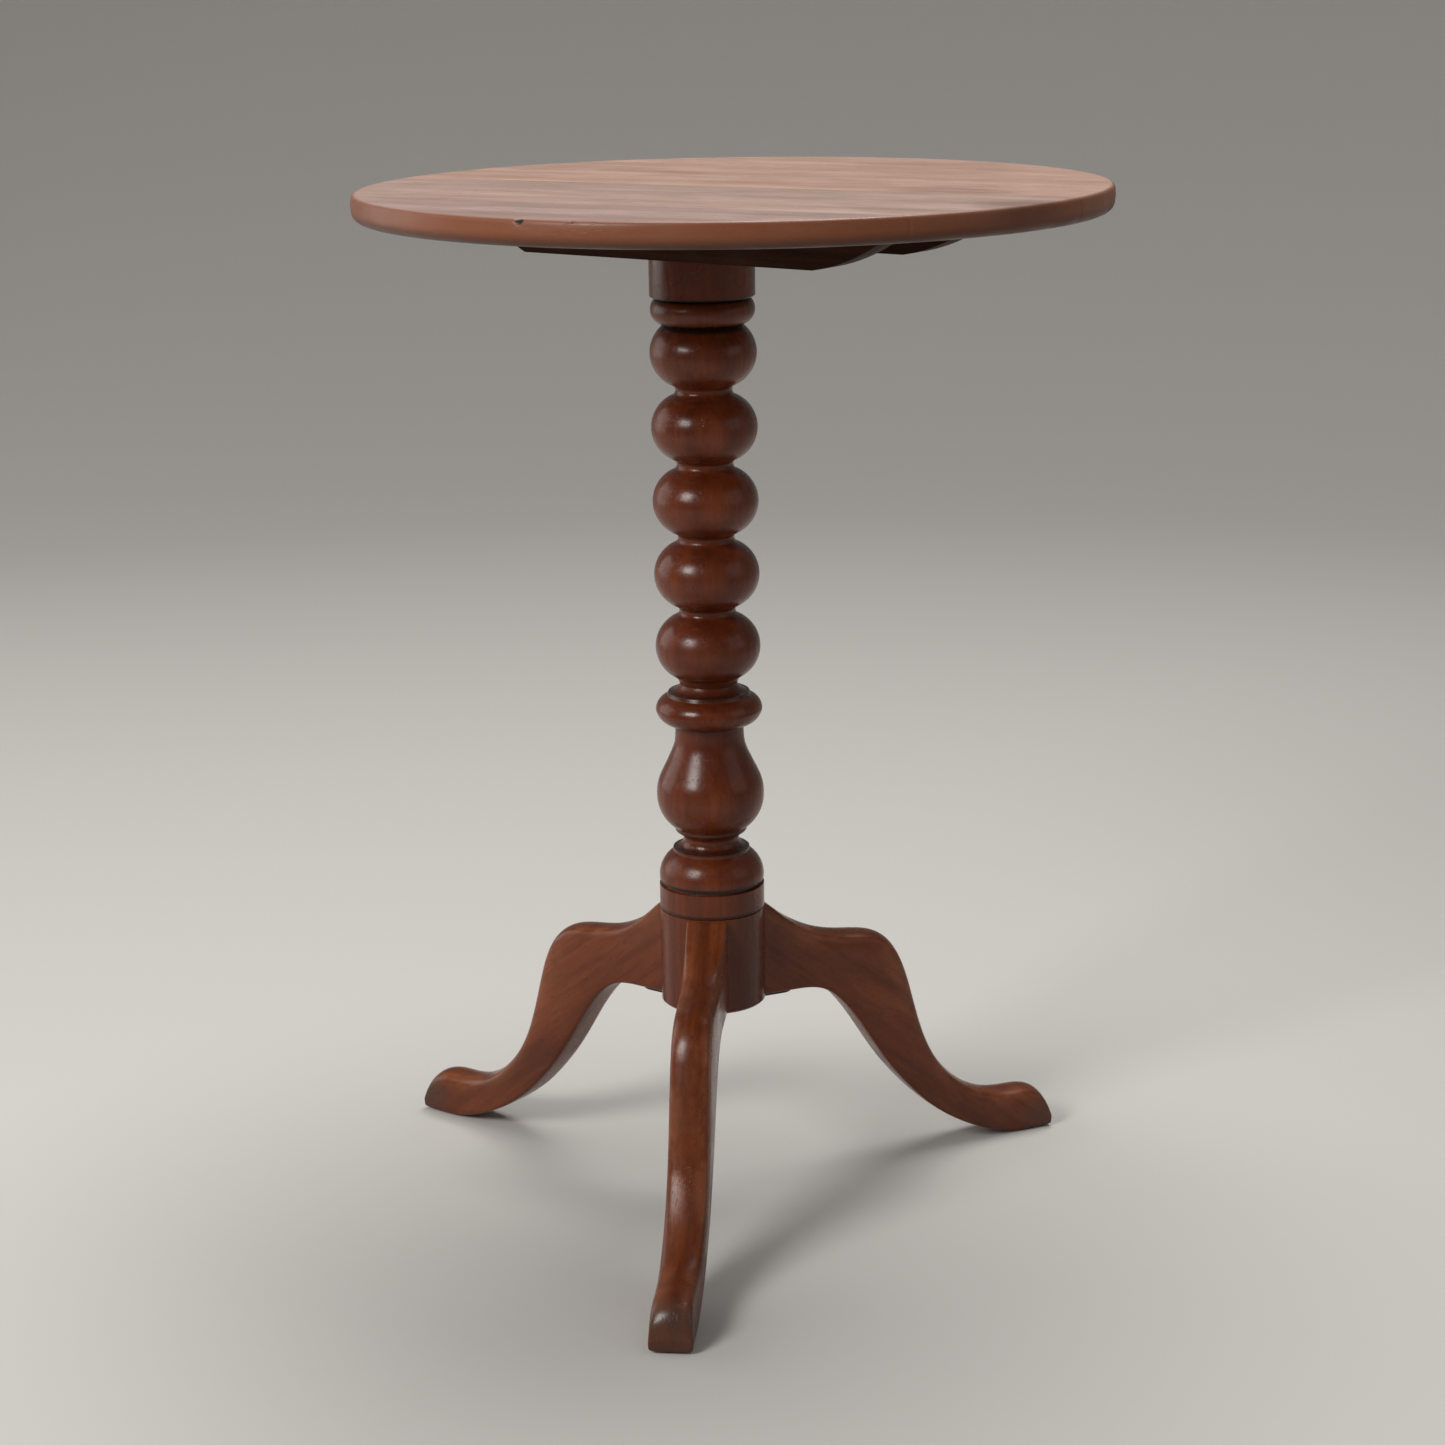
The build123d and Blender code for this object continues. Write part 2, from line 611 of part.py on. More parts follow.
os.makedirs("parts", exist_ok=True)
for name, part in make_parts().items():
    export_step(part, f"parts/{name}.step")
    print(name, round(part.volume / 1000, 2), "cm3")
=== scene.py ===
"""Looks for a tilt-top table: a round three-board top that hinges up on a bobbin-turned column.

Metres, +Z up, origin on the floor on the column's axis, the catch on the +X side.
"""

import math

import bmesh
import bpy
from mathutils import Matrix, Vector


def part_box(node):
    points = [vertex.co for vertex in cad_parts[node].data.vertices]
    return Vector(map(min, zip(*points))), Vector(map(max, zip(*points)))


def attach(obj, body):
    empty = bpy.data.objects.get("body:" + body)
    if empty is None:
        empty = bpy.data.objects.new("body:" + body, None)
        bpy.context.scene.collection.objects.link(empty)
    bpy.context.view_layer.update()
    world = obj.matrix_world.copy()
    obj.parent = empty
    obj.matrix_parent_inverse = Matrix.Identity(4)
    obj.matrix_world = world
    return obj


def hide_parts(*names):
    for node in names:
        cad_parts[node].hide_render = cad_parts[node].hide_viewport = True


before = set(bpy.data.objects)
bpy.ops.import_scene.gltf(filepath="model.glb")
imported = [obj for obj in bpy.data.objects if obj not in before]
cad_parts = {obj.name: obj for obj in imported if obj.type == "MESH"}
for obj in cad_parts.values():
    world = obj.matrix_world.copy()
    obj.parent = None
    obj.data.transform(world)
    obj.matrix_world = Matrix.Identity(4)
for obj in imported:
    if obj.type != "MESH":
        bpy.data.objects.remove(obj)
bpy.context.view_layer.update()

MM = 0.001


# ---- Places read from the CAD parts ----
def joined_box(names):
    """Lowest and highest corners of several CAD nodes together."""
    corners = [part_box(name) for name in names]
    low = Vector([min(c[0][axis] for c in corners) for axis in range(3)])
    high = Vector([max(c[1][axis] for c in corners) for axis in range(3)])
    return low, high


BOARDS = ("board_front", "board_middle", "board_back")
LEGS = {"leg_rear": 180.0, "leg_front_left": 60.0, "leg_front_right": -60.0}

top_low, top_high = joined_box(BOARDS)
TOP_CENTRE = (top_low + top_high) / 2
TOP_RADIUS = (top_high.x - top_low.x) / 2
TOP_FACE = top_high.z
UNDERSIDE = top_low.z

CAP_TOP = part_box("block")[0].z
LEG_REACH = -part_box("leg_rear")[0].x
LEG_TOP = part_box("leg_rear")[1].z
LEG_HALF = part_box("leg_rear")[1].y

BOARD_TURN = math.radians(7.7)  # the board joints run this far off the bearers
FRONT_JOINT = -144.0 * MM  # from the top's centre, across the joints
BACK_JOINT = -11.0 * MM


# ---- Shader writer ----
class Recipe:
    """Writes one material's nodes. Each method adds a node and gives back its result."""

    def __init__(self, name):
        self.material = bpy.data.materials.new(name)
        self.material.use_nodes = True
        tree = self.material.node_tree
        self.nodes = tree.nodes
        self.links = tree.links
        self.shader = self.nodes["Principled BSDF"]
        self.place = self.node("ShaderNodeTexCoord").outputs["Object"]

    def node(self, kind, inputs=(), **settings):
        new = self.nodes.new(kind)
        for key, value in settings.items():
            setattr(new, key, value)
        for key, value in dict(inputs).items():
            self.give(new.inputs[key], value)
        return new

    def give(self, socket, value):
        if isinstance(value, bpy.types.NodeSocket):
            self.links.new(value, socket)
        else:
            socket.default_value = value

    def set(self, **inputs):
        """Set the shader's own sockets; an underscore stands for a space."""
        for key, value in inputs.items():
            self.give(self.shader.inputs[key.replace("_", " ")], value)

    def grain(self, length, width, depth, turn=(0, 0, 0), centre=(0, 0, 0)):
        """Coordinates in which a feature of that length, width and depth is one unit, along a turned X."""
        inputs = {"Vector": self.place, "Location": centre, "Rotation": turn, "Scale": (length, width, depth)}
        return self.node("ShaderNodeMapping", inputs, vector_type="TEXTURE").outputs[0]

    def noise(self, vector, scale=1.0, detail=3.0, roughness=0.55, distortion=0.0):
        inputs = {
            "Vector": vector,
            "Scale": scale,
            "Detail": detail,
            "Roughness": roughness,
            "Distortion": distortion,
        }
        return self.node("ShaderNodeTexNoise", inputs).outputs[0]

    def span(self, value, low, high, start=0.0, end=1.0):
        """value taken from low..high to start..end, smoothly and clamped."""
        inputs = {"Value": value, "From Min": low, "From Max": high, "To Min": start, "To Max": end}
        return self.node("ShaderNodeMapRange", inputs, interpolation_type="SMOOTHSTEP").outputs[0]

    def math(self, operation, first, second=0.0):
        new = self.node("ShaderNodeMath", {0: first}, operation=operation)
        self.give(new.inputs[1], second)
        return new.outputs[0]

    def mix(self, factor, under, over, blend="MIX"):
        new = self.node("ShaderNodeMix", data_type="RGBA", blend_type=blend)
        self.give(new.inputs["Factor"], factor)
        self.give(new.inputs[6], under if isinstance(under, bpy.types.NodeSocket) else (*under, 1.0))
        self.give(new.inputs[7], over if isinstance(over, bpy.types.NodeSocket) else (*over, 1.0))
        return new.outputs[2]

    def ramp(self, value, stops):
        new = self.node("ShaderNodeValToRGB", {"Fac": value})
        elements = new.color_ramp.elements
        while len(elements) < len(stops):
            elements.new(0.5)
        for element, (position, colour) in zip(elements, stops):
            element.position = position
            element.color = (*colour, 1.0)
        return new.outputs["Color"]

    def axis(self, letter):
        """One of the piece's own X, Y or Z."""
        return self.node("ShaderNodeSeparateXYZ", {0: self.place}).outputs[letter]

    def near(self, point, radius, edge=0.4):
        """1 inside a ball round a point, falling smoothly to 0 at its surface."""
        inputs = {0: self.place, 1: point}
        distance = self.node("ShaderNodeVectorMath", inputs, operation="DISTANCE").outputs["Value"]
        return self.span(distance, radius * edge, radius, 1.0, 0.0)

    def band(self, level, half, soft=1.0):
        """1 at a height, falling to 0 half a band away."""
        away = self.math("ABSOLUTE", self.math("SUBTRACT", self.axis("Z"), level))
        return self.span(away, half * (1.0 - soft), half, 1.0, 0.0)

    def bump(self, height, distance, strength=1.0, normal=None):
        inputs = {"Height": height, "Distance": distance, "Strength": strength}
        new = self.node("ShaderNodeBump", inputs)
        if normal is not None:
            self.give(new.inputs["Normal"], normal)
        return new.outputs[0]


def wood_figure(recipe, tones, turn, centre, rings=(0.32, 0.05, 0.008), streak=0.004, veil=0.55):
    """Growth figure, fine streaks and pores. Gives the colour, the streaks and the pores."""
    dark, middle, light = tones
    broad = recipe.noise(recipe.grain(*rings, turn, centre), detail=4.0, roughness=0.6, distortion=0.6)
    base = recipe.ramp(broad, [(0.25, dark), (0.50, middle), (0.75, light)])
    fine = recipe.noise(recipe.grain(0.11, streak, streak, turn, centre), detail=5.0, roughness=0.62)
    base = recipe.mix(recipe.span(fine, 0.40, 0.66, 0.0, veil), base, dark)
    pores = recipe.noise(recipe.grain(0.010, 0.0007, 0.0007, turn, centre), detail=1.0)
    pores = recipe.span(pores, 0.60, 0.74)
    base = recipe.mix(recipe.math("MULTIPLY", pores, 0.45), base, [0.35 * c for c in dark])
    return base, fine, pores


def wood_surface(recipe, fine, pores, low_gloss, high_gloss, relief=0.00012):
    """Satin polish over open grain: uneven roughness and a shallow relief."""
    smear = recipe.noise(recipe.grain(0.05, 0.03, 0.03), detail=3.0)
    roughness = recipe.span(smear, 0.32, 0.70, low_gloss, high_gloss)
    waves = recipe.noise(recipe.grain(0.05, 0.018, 0.018), detail=2.0)
    normal = recipe.bump(waves, 0.0012, 0.35)
    depth = recipe.math("SUBTRACT", recipe.math("MULTIPLY", fine, 0.5), pores)
    normal = recipe.bump(depth, relief, 0.5, normal)
    recipe.set(Roughness=roughness, Normal=normal)


# ---- Materials ----
# The top's tones are paled as a painted reflection of the pale surroundings in the polished face; the rim
# goes back to the wood's own orange-brown.
TOP_GRAIN_AND_REFLECTION_TONES = ((0.27, 0.165, 0.130), (0.365, 0.240, 0.197), (0.45, 0.310, 0.255))
COLUMN_TONES = ((0.052, 0.009, 0.0025), (0.110, 0.022, 0.006), (0.180, 0.042, 0.012))
LEG_TONES = ((0.072, 0.015, 0.004), (0.140, 0.032, 0.009), (0.210, 0.056, 0.018))
# Painted shade: the underside of the top and the bearers and block under it are darkened where the top shades
# them.
UNDER_SHADE_TONES = ((0.018, 0.006, 0.002), (0.032, 0.010, 0.004), (0.055, 0.018, 0.007))
RIM_TONE = (0.175, 0.050, 0.016)
PLAIN_TONES = ((0.28, 0.17, 0.09), (0.42, 0.28, 0.16), (0.52, 0.37, 0.23))
# A dark used for wax and dirt in the nicks and grooves, and for painted shade in the grooves and at the leg's
# dints.
WAX_AND_SHADE_DARK = (0.012, 0.006, 0.004)
LEG_GRAIN_DROP = math.radians(38.0)  # the legs' grain runs down and outward

# Dark spots painted as the shade of small round dints on the top of a leg, by its angle: out along the leg,
# across it, up. The dints themselves are not modelled.
LEG_DINT_SHADES = {-60: ((132.5 * MM, 1.0 * MM, 158.0 * MM),)}

# Stains on the top: angle, distance from the centre, size, strength.
TOP_STAINS = (
    (14.0, 0.140, 0.050, 0.35),
    (9.0, 0.175, 0.030, 0.25),
    (-9.0, 0.232, 0.045, 0.60),
    (-120.0, 0.215, 0.060, 0.20),
)

# Nicks in the rim: angle, distance from the centre, size, depth.
NICKS = ((-84.2, 0.2375, 0.0040, 0.0010), (-76.0, 0.2378, 0.0020, 0.0005))


def top_wood(name, shade, shift):
    """A board of the top: a face paled as a painted reflection, the orange rim, and a lower edge darkened as
    painted shade. shade warms or cools the board.
    """
    recipe = Recipe(name)
    turn = (0.0, 0.0, BOARD_TURN)
    tones = [[c * s for c, s in zip(tone, shade)] for tone in TOP_GRAIN_AND_REFLECTION_TONES]
    base, fine, pores = wood_figure(recipe, tones, turn, shift, rings=(0.45, 0.035, 0.010), streak=0.006)
    flat = {"Vector": recipe.place, "Location": TOP_CENTRE, "Scale": (1, 1, 1)}
    spot = recipe.node("ShaderNodeMapping", flat, vector_type="TEXTURE").outputs[0]
    spread = recipe.node("ShaderNodeVectorMath", {0: spot, 1: (1, 1, 0)}, operation="MULTIPLY").outputs[0]
    radius = recipe.node("ShaderNodeVectorMath", {0: spread}, operation="LENGTH").outputs["Value"]
    rim = recipe.span(radius, TOP_RADIUS - 4.0 * MM, TOP_RADIUS - 0.5 * MM)
    # Painted shade: darker towards the underside, over the rim's lower edge and the underside itself.
    under = recipe.span(recipe.axis("Z"), UNDERSIDE + 0.5 * MM, UNDERSIDE + 9.0 * MM, 1.0, 0.0)
    # The rim takes the wood's own colour; the pale face above it is painted reflection.
    side = recipe.mix(0.92, base, RIM_TONE)
    base = recipe.mix(rim, base, side)
    base = recipe.mix(recipe.math("MULTIPLY", under, 0.85), base, UNDER_SHADE_TONES[1])
    grime = recipe.noise(recipe.grain(0.06, 0.02, 0.02, turn), detail=4.0)
    for angle, reach, size, depth in TOP_STAINS:
        point = on_top(angle, reach)
        uneven = recipe.span(grime, 0.35, 0.6, 0.5, 1.0)
        stain = recipe.math("MULTIPLY", recipe.near(point, size, 0.15), uneven)
        base = recipe.mix(recipe.math("MULTIPLY", stain, depth), base, (0.10, 0.035, 0.020))
    for angle, reach, size, _ in NICKS:
        point = on_top(angle, reach)
        base = recipe.mix(recipe.near(point, size, 0.55), base, WAX_AND_SHADE_DARK)
    shine = recipe.span(recipe.axis("Z"), TOP_FACE - 2.0 * MM, TOP_FACE, 0.25, 0.5)
    recipe.set(Base_Color=base, Specular_IOR_Level=shine)
    wood_surface(recipe, fine, pores, 0.34, 0.50)
    return recipe.material


def on_top(angle, reach):
    """A point on the top's upper face, by its angle and distance from the top's centre."""
    turn = math.radians(angle)
    return Vector((TOP_CENTRE.x + reach * math.cos(turn), TOP_CENTRE.y + reach * math.sin(turn), TOP_FACE))


def column_wood():
    recipe = Recipe("column_polished_wood")
    turn = (0.0, math.radians(90.0), 0.3)
    base, fine, pores = wood_figure(
        recipe, COLUMN_TONES, turn, (0.0, 0.0, 0.0), rings=(0.30, 0.03, 0.03), streak=0.003, veil=0.35
    )
    wax_and_shade = None
    # Painted shade: dark lines in the grooves and under the cap and the bead, over the wax that gathers
    # there.
    for level, half, strength in wax_and_shade_lines():
        line = recipe.math("MULTIPLY", recipe.band(level, half, 0.6), strength)
        wax_and_shade = line if wax_and_shade is None else recipe.math("MAXIMUM", wax_and_shade, line)
    patchy = recipe.noise(recipe.grain(0.02, 0.02, 0.006), detail=3.0)
    wax_and_shade = recipe.math("MULTIPLY", wax_and_shade, recipe.span(patchy, 0.2, 0.5, 0.75, 1.0))
    base = recipe.mix(wax_and_shade, base, WAX_AND_SHADE_DARK)
    recipe.set(Base_Color=base, Specular_IOR_Level=0.30)
    wood_surface(recipe, fine, pores, 0.20, 0.34)
    return recipe.material


def wax_and_shade_lines():
    """Heights, half widths and strengths of the dark lines in the turning: wax and dirt left in its grooves,
    and painted shade in the grooves and under the cap and the bead.
    """
    line = LEG_TOP + 1.2 * MM
    groove = line + 17.6 * MM
    torus = groove + 1.6 * MM
    collar = torus + 107.2 * MM
    cap = CAP_TOP - 28.6 * MM
    bead = cap - 17.8 * MM
    return (
        (line, 1.2 * MM, 0.9),
        (groove, 2.2 * MM, 1.0),
        (torus + 21.5 * MM, 2.4 * MM, 0.6),
        (torus + 33.6 * MM, 1.6 * MM, 0.6),
        (collar - 0.5 * MM, 2.0 * MM, 0.6),
        (collar + 20.6 * MM, 2.0 * MM, 0.6),
        (bead - 0.5 * MM, 3.2 * MM, 0.9),
        (cap - 0.4 * MM, 2.2 * MM, 1.0),
    )


def leg_wood(name, angle):
    recipe = Recipe(name)
    about = Matrix.Rotation(math.radians(angle), 3, "Z")
    turn = about @ Matrix.Rotation(LEG_GRAIN_DROP, 3, "Y")
    centre = about @ Vector((0.13, 0.0, 0.10))
    base, fine, pores = wood_figure(recipe, LEG_TONES, turn.to_euler(), centre, (0.20, 0.012, 0.05), 0.005)
    edge = recipe.node("ShaderNodeAttribute", attribute_name="wear").outputs["Fac"]
    rub = recipe.noise(recipe.grain(0.03, 0.03, 0.03), detail=4.0)
    worn = recipe.math("MULTIPLY", edge, recipe.span(rub, 0.42, 0.62))
    base = recipe.mix(recipe.math("MULTIPLY", worn, 0.22), base, (0.34, 0.13, 0.060))
    toe = about @ Vector((LEG_REACH, 0.0, 8.0 * MM))
    # Painted shade: a dark spot where a small dint would hold shade; the leg's surface is not dented.
    for out, across, up in LEG_DINT_SHADES.get(round(angle), ()):
        dint = about @ Vector((out, across, up))
        base = recipe.mix(recipe.math("MULTIPLY", recipe.near(dint, 2.2 * MM, 0.5), 0.7), base, WAX_AND_SHADE_DARK)
    scuffed = recipe.math("MULTIPLY", recipe.near(toe, 0.034, 0.45), recipe.span(rub, 0.30, 0.60, 0.6, 1.0))
    base = recipe.mix(recipe.math("MULTIPLY", scuffed, 0.85), base, (0.055, 0.034, 0.026))
    recipe.set(Base_Color=base, Specular_IOR_Level=0.30)
    wood_surface(recipe, fine, pores, 0.22, 0.36)
    return recipe.material


def dull_wood(name, tones, turn=(0.0, 0.0, 0.0)):
    recipe = Recipe(name)
    base, fine, pores = wood_figure(recipe, tones, turn, (0.1, 0.2, 0.3), rings=(0.25, 0.02, 0.008))
    dust = recipe.noise(recipe.grain(0.04, 0.04, 0.04), detail=5.0)
    base = recipe.mix(recipe.span(dust, 0.45, 0.75, 0.0, 0.10), base, (0.12, 0.085, 0.06))
    recipe.set(Base_Color=base, Specular_IOR_Level=0.06)
    wood_surface(recipe, fine, pores, 0.55, 0.72, 0.0002)
    return recipe.material


def metal(name, clean, dull, low_gloss, high_gloss, grime=0.5):
    """Aged metal: clean where rubbed, dull and brown elsewhere, with fine scratches."""
    recipe = Recipe(name)
    patches = recipe.noise(recipe.grain(0.012, 0.012, 0.012), detail=5.0, roughness=0.65)
    base = recipe.mix(recipe.span(patches, 0.5 - 0.25 * grime, 0.72, 1.0, 0.0), clean, dull)
    scratches = recipe.noise(recipe.grain(0.02, 0.0006, 0.0006), detail=2.0)
    roughness = recipe.span(patches, 0.3, 0.7, high_gloss, low_gloss)
    normal = recipe.bump(scratches, 0.00006, 0.4)
    recipe.set(Base_Color=base, Metallic=1.0, Roughness=roughness, Normal=normal)
    return recipe.material


def forged_iron():
    recipe = Recipe("forged_iron")
    hammer = recipe.noise(recipe.grain(0.010, 0.010, 0.010), detail=2.0)
    rust = recipe.noise(recipe.grain(0.006, 0.006, 0.006), detail=5.0, roughness=0.7)
    base = recipe.mix(recipe.span(rust, 0.50, 0.70), (0.030, 0.027, 0.025), (0.10, 0.045, 0.022))
    normal = recipe.bump(hammer, 0.0008, 0.5)
    roughness = recipe.span(rust, 0.3, 0.7, 0.42, 0.78)
    recipe.set(Base_Color=base, Metallic=0.7, Roughness=roughness, Normal=normal)
    return recipe.material


# ---- Piece building ----
def sharpen(mesh_data, angle):
    """Smooth shading, with the edges that turn more than an angle left crisp."""
    limit = math.radians(angle)
    for face in mesh_data.faces:
        face.smooth = True
    for edge in mesh_data.edges:
        edge.smooth = len(edge.link_faces) != 2 or edge.calc_face_angle(0.0) < limit


def finish_piece(mesh_data, name, body, material, node, crisp=40.0):
    """Make an object of a bmesh that stands for a CAD node and rides on its body."""
    bmesh.ops.recalc_face_normals(mesh_data, faces=mesh_data.faces[:])
    sharpen(mesh_data, crisp)
    mesh = bpy.data.meshes.new(name)
    mesh_data.to_mesh(mesh)
    mesh_data.free()
    mesh.materials.append(material)
    piece = bpy.data.objects.new(name, mesh)
    bpy.context.scene.collection.objects.link(piece)
    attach(piece, body)
    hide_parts(node)
    return piece


def bevel_edges(mesh_data, edges, width, segments=2):
    bmesh.ops.bevel(
        mesh_data,
        geom=edges,
        offset=width,
        offset_type="OFFSET",
        affect="EDGES",
        segments=segments,
        profile=0.5,
        material=-1,
        clamp_overlap=True,
    )


# ---- Top boards ----
def rim_section():
    """Half the top's section: middle of the face, over the rim, to the middle of the underside."""
    arris = 2.5 * MM
    lower = 6.0 * MM
    belly = 0.35 * MM
    edge = TOP_RADIUS - belly
    points = [(0.0, TOP_FACE), (edge - 12.0 * MM, TOP_FACE)]
    for step in range(5):
        turn = math.radians(90.0 - 22.5 * step)
        points.append((edge - arris + arris * math.cos(turn), TOP_FACE - arris + arris * math.sin(turn)))
    points.append((TOP_RADIUS, (TOP_FACE - arris + UNDERSIDE + lower) / 2))
    for step in range(7):
        turn = math.radians(-15.0 * step)
        points.append((edge - lower + lower * math.cos(turn), UNDERSIDE + lower + lower * math.sin(turn)))
    points.append((0.0, UNDERSIDE))
    return points


def turned_disc():
    """The whole top as a turned disc, before it is cut into boards."""
    disc = bmesh.new()
    section = [disc.verts.new((TOP_CENTRE.x + r, TOP_CENTRE.y, z)) for r, z in rim_section()]
    edges = [disc.edges.new(pair) for pair in zip(section, section[1:])]
    bmesh.ops.spin(
        disc,
        geom=section + edges,
        cent=TOP_CENTRE,
        axis=(0, 0, 1),
        angle=math.tau,
        steps=288,
        use_merge=True,
    )
    bmesh.ops.remove_doubles(disc, verts=disc.verts[:], dist=0.00001)
    bmesh.ops.recalc_face_normals(disc, faces=disc.faces[:])
    return disc


def dent(mesh_data, point, size, depth):
    """Split the mesh finely round a point and press it in."""
    close = [e for e in mesh_data.edges if all((v.co - point).length < 2.6 * size for v in e.verts)]
    bmesh.ops.subdivide_edges(mesh_data, edges=close, cuts=4, use_grid_fill=True)
    inward = Vector((TOP_CENTRE.x - point.x, TOP_CENTRE.y - point.y, 0.0)).normalized()
    press = (inward + Vector((0, 0, -1))).normalized()
    for vert in mesh_data.verts:
        away = (vert.co - point).length / size
        if away < 1.0:
            vert.co += press * depth * (1.0 - away * away)


def make_board(name, low, high, material):
    """One board, cut from the turned disc between two joints given across the boards."""
    board = turned_disc()
    across = Vector((-math.sin(BOARD_TURN), math.cos(BOARD_TURN), 0.0))
    for offset, outward in ((low, -1.0), (high, 1.0)):
        if offset is None:
            continue
        geometry = board.verts[:] + board.edges[:] + board.faces[:]
        cut = bmesh.ops.bisect_plane(
            board,
            geom=geometry,
            plane_co=TOP_CENTRE + across * offset,
            plane_no=across * outward,
            clear_outer=True,
        )
        loop = [e for e in cut["geom_cut"] if isinstance(e, bmesh.types.BMEdge)]
        bmesh.ops.contextual_create(board, geom=loop)
        joint = [e for e in board.edges if on_joint(e, across, offset) and len(e.link_faces) == 2]
        bevel_edges(board, joint, 0.35 * MM, 2)
    for angle, reach, size, depth in NICKS:
        point = on_top(angle, reach)
        if (low is None or (point - TOP_CENTRE).dot(across) > low) and (
            high is None or (point - TOP_CENTRE).dot(across) < high
        ):
            dent(board, point, size, depth)
    return finish_piece(board, f"{name}_face", "top", material, name, 50.0)


def on_joint(edge, across, offset):
    return all(abs((v.co - TOP_CENTRE).dot(across) - offset) < 0.00002 for v in edge.verts)


# ---- Legs ----
# Over the knee and under the arch, from the hub to the toe: (out from the axis, up), in millimetres.
LEG_OVER = (
    (26.0, 203.0), (32.0, 202.6), (36.2, 200.6), (45.6, 192.0), (57.0, 183.8), (73.0, 175.6),
    (91.0, 170.8), (107.5, 169.0), (121.0, 166.6), (132.0, 159.0), (139.8, 145.5), (145.4, 127.0),
    (150.0, 108.0), (155.2, 90.0), (161.5, 74.5), (172.0, 58.5), (188.0, 43.5), (205.0, 34.8),
    (221.0, 32.0), (236.0, 33.0), (247.5, 30.0), (254.8, 22.0), (257.3, 11.0),
)
LEG_UNDER = (
    (26.0, 135.5), (31.0, 135.5), (37.0, 135.5), (45.0, 135.5), (54.0, 135.5), (63.0, 135.5),
    (72.0, 134.5), (80.0, 131.4), (88.5, 124.8), (98.0, 113.6), (108.0, 99.0), (119.0, 80.8),
    (130.5, 64.3), (143.0, 49.5), (157.0, 35.0), (173.0, 22.6), (191.0, 12.2), (208.0, 4.8),
    (224.0, 0.6), (236.0, 0.0), (245.0, 0.0), (251.5, 0.0), (256.4, 1.4),
)


def leg_ring(over, under, half):
    """Points round a leg's section: flat sides, crisp lower corners, and a top that softens past the hub."""
    upward = Vector((over[0] - under[0], 0.0, over[1] - under[1]))
    height = upward.length
    upward.normalize()
    foot = Vector((under[0], 0.0, under[1]))
    ease = min(1.0, max(0.0, (over[0] - 38.0) / 34.0))
    crown = 0.6 + 1.4 * ease
    soft = min(0.8 + 4.4 * ease, height * 0.3)
    crisp = min(2.0, height * 0.15)
    section = [
        (0.0, 0.0),
        (half - crisp, 0.0),
        (half, crisp),
        (half, height / 2),
        (half - 0.2, height - soft),
        (half - soft, height - crown),
        (0.0, height),
    ]
    mirrored = [(-y, up) for y, up in reversed(section[1:-1])]
    return [(foot + upward * up + Vector((0.0, y, 0.0))) * MM for y, up in section + mirrored]


def make_leg(name, angle):
    leg = bmesh.new()
    wear = leg.verts.layers.float.new("wear")
    half = LEG_HALF / MM
    rings = [leg_ring(over, under, half) for over, under in zip(LEG_OVER, LEG_UNDER)]
    face = leg.faces.new([leg.verts.new(point) for point in rings[0]])
    ring = list(face.verts)
    for points in rings[1:]:
        grown = bmesh.ops.extrude_edge_only(leg, edges=[edge_between(a, b) for a, b in looped(ring)])
        fresh = [v for v in grown["geom"] if isinstance(v, bmesh.types.BMVert)]
        ring = [next(e.other_vert(v) for e in v.link_edges if e.other_vert(v) in fresh) for v in ring]
        for vert, point in zip(ring, points):
            vert.co = point
    cap = leg.faces.new(ring)
    bmesh.ops.inset_region(leg, faces=[cap], thickness=3.0 * MM, depth=0.3 * MM)
    worn_corners(leg, wear, rings)
    turn = Matrix.Rotation(math.radians(angle), 4, "Z")
    bmesh.ops.transform(leg, matrix=turn, verts=leg.verts[:])
    wood = leg_wood(f"{name}_wood", angle)
    piece = finish_piece(leg, f"{name}_carved", "base", wood, name, 80.0)
    smooth = piece.modifiers.new("smooth", "SUBSURF")
    smooth.levels = 3
    smooth.render_levels = 3
    return piece


def looped(ring):
    return zip(ring, ring[1:] + ring[:1])


def edge_between(first, second):
    return next(e for e in first.link_edges if e.other_vert(first) == second)


def worn_corners(leg, wear, rings):
    """Mark the two soft upper corners along the leg, where polish rubs through."""
    corners = [points[index] for points in rings for index in (4, 5, 7, 8)]
    for vert in leg.verts:
        vert[wear] = 1.0 if any((vert.co - corner).length < 0.00001 for corner in corners) else 0.0


# ---- CAD nodes finished with eased edges ----
def eased_copy(node, body, material, width, crisp=40.0):
    """A copy of a CAD node's shape with its doubles merged and its sharp edges eased."""
    copy = bmesh.new()
    copy.from_mesh(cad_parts[node].data)
    bmesh.ops.remove_doubles(copy, verts=copy.verts[:], dist=0.00001)
    bmesh.ops.dissolve_limit(copy, angle_limit=math.radians(0.6), verts=copy.verts[:], edges=copy.edges[:])
    sharp = [e for e in copy.edges if len(e.link_faces) == 2 and e.calc_face_angle(0.0) > math.radians(35.0)]
    bevel_edges(copy, sharp, width)
    return finish_piece(copy, f"{node}_eased", body, material, node, crisp)


def paint(node, material):
    """Give a CAD node that stays as it is its finish."""
    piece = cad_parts[node]
    piece.data.materials.clear()
    piece.data.materials.append(material)


